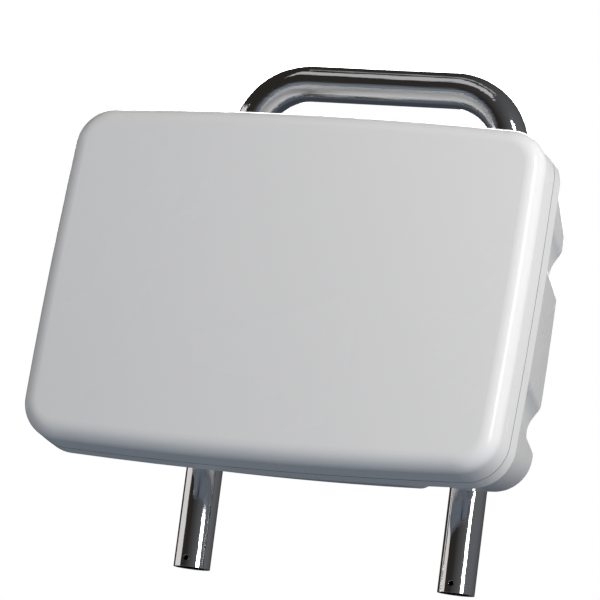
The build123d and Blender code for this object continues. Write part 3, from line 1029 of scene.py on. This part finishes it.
@dataclass
class CoverFixings:
    """Screws that hold the two mouldings together, their washers and their inserts."""

    head_radius: float = 3.8 * MM
    head_height: float = 2.6 * MM
    head_rounding: float = 1.5 * MM
    shank_radius: float = 2.0 * MM
    pitch: float = 0.7 * MM
    thread_depth: float = 0.35 * MM
    thread_length: float = 14.0 * MM
    recess_flats: float = 2.5 * MM
    recess_depth: float = 1.4 * MM
    washer_radius: float = 4.3 * MM
    washer_bore: float = 2.25 * MM
    washer_lip: float = 0.25 * MM
    insert_radius: float = 3.2 * MM
    insert_bore: float = 2.05 * MM
    insert_rim: float = 0.3 * MM
    insert_relief: float = 0.1 * MM
    knurl_depth: float = 0.25 * MM
    knurl_count: int = 24
    lip: float = 0.1 * MM

    def screw_mesh(self, length: float) -> bpy.types.Mesh:
        """Pan-head machine screw with a hexagon recess.

        Args:
            length: from the top of the head to the tip.

        Returns:
            The mesh, from the head's top at zero to its tip.
        """
        recess = hexagon(self.recess_flats)
        lip = self.lip
        rings = [
            Ring(self.recess_depth, math.inf, recess),
            Ring(lip, math.inf, recess),
            Ring(0.0, self.recess_flats / 2 + 2 * lip),
        ]
        for step in range(7):
            angle = math.pi / 2 * step / 6
            out = self.head_radius - self.head_rounding * (1 - math.sin(angle))
            rings.append(Ring(self.head_rounding * (1 - math.cos(angle)), out))
        rings.append(Ring(self.head_height - lip, self.head_radius))
        rings.append(Ring(self.head_height, self.head_radius - lip))
        rings.append(Ring(self.head_height, self.shank_radius + lip))
        rings.append(Ring(self.head_height + lip, self.shank_radius))
        start = length - self.thread_length
        end = length - 2 * self.thread_depth
        rings.append(Ring(start - self.pitch, self.shank_radius))
        rings += thread(start, end, self.shank_radius, self.pitch, self.thread_depth)
        rings.append(Ring(length, self.shank_radius - 2 * self.thread_depth))
        return turned("cover_screw", rings, 48)

    def washer_mesh(self, thickness: float) -> bpy.types.Mesh:
        """Bonded washer of the given thickness, with rounded rims."""
        return plain_washer(
            "cover_screw_washer", self.washer_radius, self.washer_bore, thickness, self.washer_lip
        )

    def insert_mesh(self, length: float) -> bpy.types.Mesh:
        """Brass insert with a knurled outside and a threaded bore.

        Args:
            length: the insert's length.

        Returns:
            The mesh.
        """
        knurl = ribbed(self.insert_radius, self.knurl_depth, self.knurl_count)
        rim = self.insert_rim
        low, high = 0.3 * length, 0.6 * length
        rings = [
            Ring(0.0, self.insert_radius - rim),
            Ring(rim, self.insert_radius - self.insert_relief),
            Ring(low, self.insert_radius, knurl),
            Ring(low + rim, self.insert_radius - rim),
            Ring(high - rim, self.insert_radius - rim),
            Ring(high, self.insert_radius, knurl),
            Ring(length - rim, self.insert_radius - self.insert_relief),
            Ring(length, self.insert_radius - rim),
        ]
        inside = thread(rim, length - rim, self.insert_bore, self.pitch, -self.thread_depth / 2)
        rings.append(Ring(length, self.insert_bore + rim))
        rings += list(reversed(inside))
        rings.append(Ring(0.0, self.insert_bore + rim))
        return turned("cover_insert", rings, 96, hollow=True)

    def build(self) -> None:
        """Builds every screw, washer and insert on its own axis."""
        forward = pod_forward()
        fill_axles("cover_screws", "cover_screw", forward, self.screw_mesh, TURNED_STEEL)
        fill_axles("cover_screw_washers", "cover_screw_washer", forward, self.washer_mesh, TURNED_STEEL)
        fill_axles("cover_inserts", "cover_insert", forward, self.insert_mesh, TURNED_BRASS, "front")


def plain_washer(name: str, outer: float, bore: float, thickness: float, lip: float) -> bpy.types.Mesh:
    """Flat washer with rounded rims.

    Args:
        name: the mesh's name.
        outer: outside radius.
        bore: hole radius.
        thickness: the washer's thickness.
        lip: radius of its rims.

    Returns:
        The mesh.
    """
    rings = []
    for centre_r, centre_z, start in (
        (outer - lip, lip, 270.0),
        (outer - lip, thickness - lip, 0.0),
        (bore + lip, thickness - lip, 90.0),
        (bore + lip, lip, 180.0),
    ):
        for step in range(5):
            angle = math.radians(start + 90.0 * step / 4)
            rings.append(Ring(centre_z + lip * math.sin(angle), centre_r + lip * math.cos(angle)))
    return turned(name, rings, 64, hollow=True)


@dataclass
class ClampFixings:
    """Bolts, washers and nuts of the four clamps."""

    head_radius: float = 5.0 * MM
    head_height: float = 6.0 * MM
    head_chamfer: float = 0.6 * MM
    rim: float = 0.25 * MM
    knurl_depth: float = 0.18 * MM
    knurl_count: int = 36
    socket_flats: float = 5.0 * MM
    socket_depth: float = 3.0 * MM
    shank_radius: float = 3.0 * MM
    pitch: float = 1.0 * MM
    thread_depth: float = 0.5 * MM
    thread_length: float = 20.0 * MM
    washer_radius: float = 6.0 * MM
    washer_bore: float = 3.25 * MM
    washer_lip: float = 0.2 * MM
    nut_flats: float = 10.0 * MM
    nut_bore: float = 3.05 * MM

    def bolt_mesh(self, length: float) -> bpy.types.Mesh:
        """Socket-head bolt with a knurled head and a real thread.

        Args:
            length: from the top of the head to the tip.

        Returns:
            The mesh, from the head's top at zero to its tip.
        """
        socket = hexagon(self.socket_flats)
        knurl = ribbed(self.head_radius, self.knurl_depth, self.knurl_count)
        rim = self.rim
        rings = [
            Ring(self.socket_depth, math.inf, socket),
            Ring(rim, math.inf, socket),
            Ring(0.0, self.socket_flats / 2 / math.cos(math.pi / 6) + rim),
            Ring(0.0, self.head_radius - self.head_chamfer),
            Ring(self.head_chamfer, self.head_radius - self.knurl_depth),
            Ring(self.head_chamfer + rim, self.head_radius, knurl),
            Ring(self.head_height - 2 * rim, self.head_radius, knurl),
            Ring(self.head_height - rim, self.head_radius - self.knurl_depth),
            Ring(self.head_height, self.head_radius - rim - self.knurl_depth),
            Ring(self.head_height, self.shank_radius + rim),
            Ring(self.head_height + rim, self.shank_radius),
        ]
        start = length - self.thread_length
        end = length - self.thread_depth
        rings.append(Ring(start - self.pitch, self.shank_radius))
        rings += thread(start, end, self.shank_radius, self.pitch, self.thread_depth)
        rings.append(Ring(length, self.shank_radius - 2 * self.thread_depth))
        return turned("clamp_bolt", rings, 144)

    def nut_mesh(self, height: float) -> bpy.types.Mesh:
        """Hexagon nut of the given height, with turned corners and a threaded bore."""
        return hexagon_nut(
            "clamp_nut", self.nut_flats, self.nut_bore, height, self.pitch, self.thread_depth / 2
        )

    def washer_mesh(self, thickness: float) -> bpy.types.Mesh:
        """Plain washer of the given thickness."""
        return plain_washer(
            "clamp_washer", self.washer_radius, self.washer_bore, thickness, self.washer_lip
        )

    def build(self) -> None:
        """Builds every bolt, washer and nut on its own axis."""
        forward = Vector((0.0, -1.0, 0.0))
        fill_axles("clamp_bolts", "clamp_bolt", forward, self.bolt_mesh, TURNED_STEEL)
        fill_axles("clamp_washers", "clamp_washer", forward, self.washer_mesh, TURNED_STEEL)
        fill_axles("clamp_nuts", "clamp_nut", forward, self.nut_mesh, TURNED_STEEL)


def hexagon_nut(
    name: str, flats: float, bore: float, height: float, pitch: float, depth: float
) -> bpy.types.Mesh:
    """Hexagon nut whose corners are turned off at both ends.

    Args:
        name: the mesh's name.
        flats: distance across the flats.
        bore: bore radius at the thread's crests.
        height: the nut's height.
        pitch: the thread's pitch.
        depth: the thread's depth.

    Returns:
        The mesh.
    """
    outline = hexagon(flats)
    corner = flats / 2 / math.cos(math.pi / 6)
    face = flats / 2 - 0.1 * MM
    drop = (corner - flats / 2) * 0.55
    shares = [step / 5 for step in range(6)]
    rings = [Ring(drop * share, face + (corner - face) * share, outline) for share in shares]
    rings += [
        Ring(height - drop * share, face + (corner - face) * share, outline) for share in reversed(shares)
    ]
    rim = 1.5 * depth
    rings.append(Ring(height, bore + rim))
    rings += list(reversed(thread(rim, height - rim, bore, pitch, -depth)))
    rings.append(Ring(0.0, bore + rim))
    return turned(name, rings, 96, hollow=True)


@dataclass
class Clamp:
    """One split clamp: the moulded saddle, the cast cap behind the leg and the liner."""

    level: str
    side: str
    bore: float = 17.925 * MM
    band: float = 5.0 * MM
    bolt_hole: float = 3.25 * MM
    corner: float = 6.0 * MM
    softness: float = 0.7 * MM
    soften_above: float = 40.0

    def _block(self, low: Vector, high: Vector) -> bmesh.types.BMesh:
        """Block whose outline, seen from behind, has rounded corners.

        Args:
            low: its lowest corner.
            high: its highest corner.

        Returns:
            The block.
        """
        mesh = bmesh.new()
        points = []
        for x, z, start in (
            (high.x - self.corner, high.z - self.corner, 0.0),
            (low.x + self.corner, high.z - self.corner, 90.0),
            (low.x + self.corner, low.z + self.corner, 180.0),
            (high.x - self.corner, low.z + self.corner, 270.0),
        ):
            for step in range(9):
                angle = math.radians(start + 90.0 * step / 8)
                points.append((x + self.corner * math.cos(angle), z + self.corner * math.sin(angle)))
        front = [mesh.verts.new((x, low.y, z)) for x, z in points]
        back = [mesh.verts.new((x, high.y, z)) for x, z in points]
        mesh.faces.new(front)
        mesh.faces.new(list(reversed(back)))
        for index in range(len(points)):
            after = (index + 1) % len(points)
            mesh.faces.new((front[index], back[index], back[after], front[after]))
        bmesh.ops.recalc_face_normals(mesh, faces=mesh.faces)
        return mesh

    @staticmethod
    def _bar(
        centre: Vector, axis: str, radius: float, length: float, segments: int = 96
    ) -> bmesh.types.BMesh:
        """Round bar used to cut or to add.

        Args:
            centre: its middle.
            axis: "Y" or "Z".
            radius: its radius.
            length: its length.
            segments: facets round it.

        Returns:
            The bar.
        """
        mesh = bmesh.new()
        turn = Matrix.Rotation(math.pi / 2, 4, "X") if axis == "Y" else Matrix.Identity(4)
        bmesh.ops.create_cone(
            mesh,
            cap_ends=True,
            segments=segments,
            radius1=radius,
            radius2=radius,
            depth=length,
            matrix=Matrix.Translation(centre) @ turn,
        )
        return mesh

    def _carve(
        self, name: str, base: bmesh.types.BMesh, steps: Sequence[tuple[str, bmesh.types.BMesh]]
    ) -> bpy.types.Mesh:
        """Adds to and cuts from a block, then softens its edges.

        Args:
            name: the mesh's name.
            base: the block.
            steps: each operation, UNION or DIFFERENCE, with its other body.

        Returns:
            The finished mesh.
        """
        scene = bpy.context.scene.collection
        data = bpy.data.meshes.new(name)
        base.to_mesh(data)
        base.free()
        block = bpy.data.objects.new(name, data)
        scene.objects.link(block)
        others = []
        for operation, mesh in steps:
            other_data = bpy.data.meshes.new("other")
            mesh.to_mesh(other_data)
            mesh.free()
            other = bpy.data.objects.new("other", other_data)
            scene.objects.link(other)
            others.append(other)
            modifier = block.modifiers.new("carve", "BOOLEAN")
            modifier.operation = operation
            modifier.solver = "EXACT"
            modifier.object = other
        soften = block.modifiers.new("soften", "BEVEL")
        soften.width = self.softness
        soften.segments = 3
        soften.limit_method = "ANGLE"
        soften.angle_limit = math.radians(self.soften_above)
        soften.use_clamp_overlap = True
        carved = bpy.data.meshes.new_from_object(block.evaluated_get(bpy.context.evaluated_depsgraph_get()))
        for spare in [block, *others]:
            bpy.data.objects.remove(spare)
        carved.name = name
        carved.materials.clear()
        carved.shade_smooth()
        carved.set_sharp_from_angle(angle=math.radians(SHARP_ANGLE))
        return carved

    def _holes(self, low: Vector, high: Vector) -> list[tuple[str, bmesh.types.BMesh]]:
        """Cutters for the bore and the bolt holes.

        Args:
            low: the block's lowest corner.
            high: its highest corner.

        Returns:
            The cutting steps.
        """
        middle = (low + high) / 2
        leg = Vector((middle.x, 0.0, middle.z))
        steps = [("DIFFERENCE", self._bar(leg, "Z", self.bore, 3 * (high.z - low.z)))]
        for axle in axles_of("clamp_bolts", Vector((0.0, -1.0, 0.0))):
            if abs(axle.start.x - middle.x) < (high.x - low.x) / 2 and low.z < axle.start.z < high.z:
                centre = Vector((axle.start.x, middle.y, axle.start.z))
                bar = self._bar(centre, "Y", self.bolt_hole, 3 * (high.y - low.y), 48)
                steps.append(("DIFFERENCE", bar))
        return steps

    def build(self) -> None:
        """Builds the saddle and the cap, and dresses the liner."""
        place = f"{self.level}_{self.side}"
        low, high = (Vector(corner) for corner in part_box(f"clamp_saddle_{place}"))
        saddle = self._carve(f"saddle_{place}", self._block(low, high), self._holes(low, high))
        add_piece(f"saddle_{place}", saddle, WHITE_NYLON, "pod", f"clamp_saddle_{place}")
        low, high = (Vector(corner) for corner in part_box(f"clamp_cap_{place}"))
        ear_back = min(axle.start.y for axle in axles_of("clamp_washers", Vector((0.0, 1.0, 0.0))))
        ears = self._block(low, Vector((high.x, ear_back, high.z)))
        middle = Vector(((low.x + high.x) / 2, 0.0, (low.z + high.z) / 2))
        band = self._bar(middle, "Z", self.bore + self.band, high.z - low.z)
        for vert in band.verts:
            vert.co.y = max(vert.co.y, low.y)
        bmesh.ops.remove_doubles(band, verts=band.verts, dist=MM / 100)
        steps = [("UNION", band), *self._holes(low, high)]
        cap = self._carve(f"cap_{place}", ears, steps)
        add_piece(f"cap_{place}", cap, SATIN_STEEL, "pod", f"clamp_cap_{place}")
        dress_nodes(BLACK_RUBBER, [f"clamp_liner_{place}"])


@dataclass
class Gland:
    """Cable gland in the rear face, with its seal, locknut and ribbed cap."""

    thread_radius: float = 12.5 * MM
    bore: float = 8.0 * MM
    flange_flats: float = 30.0 * MM
    flange_front: float = 10.5 * MM
    flange_thickness: float = 5.0 * MM
    barrel_radius: float = 12.75 * MM
    pitch: float = 1.5 * MM
    thread_depth: float = 0.7 * MM
    cap_radius: float = 15.0 * MM
    cap_rounding: float = 4.4 * MM
    cap_pocket: float = 12.8 * MM
    cap_pocket_depth: float = 8.0 * MM
    rib_depth: float = 1.0 * MM
    rib_count: int = 14
    locknut_flats: float = 32.0 * MM
    locknut_bore: float = 12.55 * MM
    seal_bore: float = 4.5 * MM
    lip: float = 0.3 * MM

    def body_mesh(self, length: float) -> bpy.types.Mesh:
        """Threaded body with its hexagon flange.

        Args:
            length: from the thread's tail to the barrel's end.

        Returns:
            The mesh, from the tail at zero.
        """
        flange = hexagon(self.flange_flats)
        corner = self.flange_flats / 2 / math.cos(math.pi / 6)
        top = self.flange_front + self.flange_thickness
        rings = [Ring(0.0, self.bore + self.lip), Ring(0.0, self.thread_radius - self.thread_depth)]
        rings += thread(
            self.lip, self.flange_front - self.lip, self.thread_radius, self.pitch, self.thread_depth
        )
        rings += [
            Ring(self.flange_front, self.thread_radius),
            Ring(self.flange_front, corner - self.lip, flange),
            Ring(self.flange_front + self.lip, corner, flange),
            Ring(top - 2 * self.lip, corner, flange),
            Ring(top - self.lip, corner - 2 * self.lip, flange),
            Ring(top, self.flange_flats / 2 - self.lip),
            Ring(top, self.barrel_radius - self.lip),
        ]
        rings += thread(top + self.lip, length - self.lip, self.barrel_radius, self.pitch, self.thread_depth)
        rings += [Ring(length, self.barrel_radius - self.thread_depth), Ring(length, self.bore + self.lip)]
        rings += [Ring(length - self.lip, self.bore), Ring(self.lip, self.bore)]
        return turned("gland_body", rings, 96, hollow=True)

    def cap_mesh(self, length: float) -> bpy.types.Mesh:
        """Ribbed cap with a domed end.

        Args:
            length: from the open front to the domed end.

        Returns:
            The mesh, from the front at zero.
        """
        grip = ribbed(self.cap_radius, self.rib_depth, self.rib_count)
        plain = self.cap_radius - self.rib_depth
        rings = [
            Ring(0.0, plain - self.lip),
            Ring(self.lip, plain),
            Ring(2 * self.lip, self.cap_radius - self.lip, grip),
            Ring(3 * self.lip, self.cap_radius, grip),
            Ring(length - self.cap_rounding - self.lip, self.cap_radius, grip),
            Ring(length - self.cap_rounding, self.cap_radius - self.lip, grip),
        ]
        centre = plain - self.cap_rounding + self.lip
        for step in range(9):
            angle = math.pi / 2 * step / 8
            height = length - self.cap_rounding * (1 - math.sin(angle))
            rings.append(Ring(height, centre + self.cap_rounding * math.cos(angle) - self.lip))
        rings += [
            Ring(length, self.bore + 2 * self.lip),
            Ring(length - 2 * self.lip, self.bore),
            Ring(self.cap_pocket_depth, self.bore),
            Ring(self.cap_pocket_depth, self.cap_pocket),
            Ring(0.0, self.cap_pocket),
        ]
        return turned("gland_cap", rings, 168, hollow=True)

    def locknut_mesh(self, height: float) -> bpy.types.Mesh:
        """Hexagon locknut.

        Args:
            height: the locknut's height.

        Returns:
            The mesh.
        """
        return hexagon_nut(
            "gland_locknut", self.locknut_flats, self.locknut_bore, height, self.pitch, self.thread_depth / 2
        )

    def seal_mesh(self, length: float) -> bpy.types.Mesh:
        """Rubber seal with soft rims.

        Args:
            length: the seal's length.

        Returns:
            The mesh.
        """
        low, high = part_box("gland_seal")
        return plain_washer("gland_seal", (high[0] - low[0]) / 2, self.seal_bore, length, 2 * self.lip)

    def build(self) -> None:
        """Builds the gland's parts on their shared axis."""
        for node, name, finish, make in (
            ("gland_body", "gland_body_turned", BLACK_NYLON, self.body_mesh),
            ("gland_cap", "gland_cap_turned", BLACK_NYLON, self.cap_mesh),
            ("gland_locknut", "gland_locknut_turned", BLACK_NYLON, self.locknut_mesh),
            ("gland_seal", "gland_seal_moulded", BLACK_RUBBER, self.seal_mesh),
        ):
            axle = axles_of(node, Vector((0.0, 1.0, 0.0)))[0]
            add_piece(name, make(axle.length), finish, "pod", node, axle.place())
        dress_nodes(BLACK_RUBBER, ["gland_washer"])


@dataclass
class BackingPlates:
    """Plates inside the pod that take the clamps' load."""

    plates: tuple[str, ...] = ("backing_plate_left", "backing_plate_right")

    def build(self) -> None:
        """Dresses the plates."""
        dress_nodes(SATIN_STEEL, self.plates)


# ----------------------------------------------------------------------------------------------
# Studio
# ----------------------------------------------------------------------------------------------


class Sight(Enum):
    """Whether polished surfaces mirror a lamp or only receive its light."""

    MIRRORED = True
    UNSEEN = False


@dataclass(frozen=True)
class SoftBox:
    """A soft rectangular lamp, placed by direction about the object and aimed at it."""

    name: str
    azimuth: float
    elevation: float
    distance: float
    width: float
    height: float
    power: float
    colour: Colour = (1.0, 1.0, 1.0)
    sight: Sight = Sight.MIRRORED

    def build(self, target: Vector) -> None:
        """Adds the lamp.

        Args:
            target: the point that it is aimed at.
        """
        around, up = math.radians(self.azimuth), math.radians(self.elevation)
        back = Vector((math.sin(around) * math.cos(up), -math.cos(around) * math.cos(up), math.sin(up)))
        data = bpy.data.lights.new(self.name, "AREA")
        data.shape = "RECTANGLE"
        data.size, data.size_y = self.width, self.height
        data.energy, data.color = self.power, self.colour
        lamp = bpy.data.objects.new(self.name, data)
        lamp.location = target + back * self.distance
        lamp.rotation_euler = (-back).to_track_quat("-Z", "Y").to_euler()
        lamp.visible_camera = False
        lamp.visible_glossy = self.sight.value
        bpy.context.scene.collection.objects.link(lamp)


@dataclass
class Studio:
    """Pale floor, white surroundings, soft lamps and the camera."""

    floor_height: float = -0.34
    floor_radius: float = 9.0
    target: Vector = Vector((0.0, -0.12, 0.22))
    camera_place: Vector = Vector((1.19787, -3.13955, -0.25871))
    camera_right: Vector = Vector((0.92819, 0.34958, 0.1275))
    camera_up: Vector = Vector((-0.06614, -0.1822, 0.98103))
    lens: float = 237.234
    sensor: float = 36.0
    low_front_tint: Colour = (0.245, 0.28, 0.33)
    low_back_tint: Colour = (0.06, 0.07, 0.085)
    left_tint: Colour = (0.034, 0.03, 0.026)
    right_tint: Colour = (0.17, 0.175, 0.185)
    horizon: tuple[float, float] = (-0.2, 0.05)
    left_to_right: tuple[float, float] = (-0.4, 1.0)
    front_to_back: tuple[float, float] = (-0.3, 0.5)
    clip: tuple[float, float] = (0.05, 60.0)
    lamps: tuple[SoftBox, ...] = (
        SoftBox("key", 57.0, 19.0, 2.2, 0.6, 1.75, 38.5, (1.0, 0.99, 0.98)),
        SoftBox("left_card", -86.0, 12.0, 2.4, 2.2, 1.5, 10.0, (1.0, 0.965, 0.94)),
        SoftBox("overhead", -20.0, 57.0, 2.2, 1.6, 0.75, 2.2),
        SoftBox("overhead_back", -20.0, 80.0, 2.2, 1.6, 0.3, 0.5),
        SoftBox("front_fill", 16.0, 10.0, 3.4, 2.6, 2.2, 10.8, (1.0, 0.99, 0.985), Sight.UNSEEN),
        SoftBox("back_key", 200.0, 28.0, 2.4, 1.4, 1.6, 42.0),
        SoftBox("back_fill", 130.0, 12.0, 3.0, 2.4, 2.2, 17.0, (1.0, 1.0, 1.0), Sight.UNSEEN),
    )

    def floor(self) -> None:
        """Adds a plain pale floor, well below the object."""
        mesh = bmesh.new()
        bmesh.ops.create_circle(mesh, cap_ends=True, segments=96, radius=self.floor_radius)
        for vert in mesh.verts:
            vert.co.z = self.floor_height
        piece = bpy.data.objects.new("floor", finished("floor", mesh))
        bpy.context.scene.collection.objects.link(piece)
        STUDIO_PAINT.dress(piece)
        piece.visible_diffuse = False
        piece.visible_glossy = False

    def surroundings(self) -> None:
        """White to the eye, and a quiet grey to everything the object mirrors."""
        world = bpy.data.worlds.new("studio")
        bpy.context.scene.world = world
        world.use_nodes = True
        graph = Graph(world.node_tree)
        world.node_tree.nodes.clear()
        direction = graph.add("ShaderNodeTexCoord")
        parts = graph.add("ShaderNodeSeparateXYZ")
        graph.link(direction.outputs["Generated"], parts.inputs[0])
        height = graph.spread(parts.outputs[2], *self.horizon, 0.0, 1.0)
        across = graph.spread(parts.outputs[0], *self.left_to_right, 0.0, 1.0)
        rearward = graph.spread(parts.outputs[1], *self.front_to_back, 0.0, 1.0)
        upper = graph.blend(across, rgba(self.left_tint), rgba(self.right_tint))
        lower = graph.blend(rearward, rgba(self.low_front_tint), rgba(self.low_back_tint))
        tint = graph.blend(height, lower, upper)
        around = graph.add("ShaderNodeBackground")
        graph.link(tint, around.inputs["Color"])
        behind = graph.add("ShaderNodeBackground")
        behind.inputs["Color"].default_value = rgba((1.0, 1.0, 1.0))
        path = graph.add("ShaderNodeLightPath")
        choose = graph.add("ShaderNodeMixShader")
        graph.link(path.outputs["Is Camera Ray"], choose.inputs[0])
        graph.link(around.outputs[0], choose.inputs[1])
        graph.link(behind.outputs[0], choose.inputs[2])
        output = graph.add("ShaderNodeOutputWorld")
        graph.link(choose.outputs[0], output.inputs["Surface"])

    def camera(self) -> None:
        """Adds the camera, below the pod and to its right, looking a little upward."""
        data = bpy.data.cameras.new("camera")
        data.lens, data.sensor_width = self.lens, self.sensor
        data.clip_start, data.clip_end = self.clip
        camera = bpy.data.objects.new("camera", data)
        back = self.camera_right.cross(self.camera_up)
        turn = Matrix((self.camera_right, self.camera_up, back)).transposed()
        camera.matrix_world = Matrix.Translation(self.camera_place) @ turn.to_4x4()
        bpy.context.scene.collection.objects.link(camera)
        bpy.context.scene.camera = camera

    def build(self) -> None:
        """Sets the whole studio up."""
        self.camera()
        self.surroundings()
        self.floor()
        for lamp in self.lamps:
            lamp.build(self.target)
            LOG.info("lamp %s at azimuth %.0f, elevation %.0f", lamp.name, lamp.azimuth, lamp.elevation)
        bpy.context.scene.view_settings.view_transform = "Standard"


def main() -> None:
    """Builds the studio and every sub-assembly in order."""
    logging.basicConfig(level=logging.INFO, format="%(name)s: %(message)s")
    Studio().build()
    Housings().build()
    Guard().build()
    CoverFixings().build()
    for side in ("left", "right"):
        for level in ("lower", "upper"):
            Clamp(level, side).build()
    ClampFixings().build()
    Gland().build()
    BackingPlates().build()


if __name__ == "__main__":
    main()
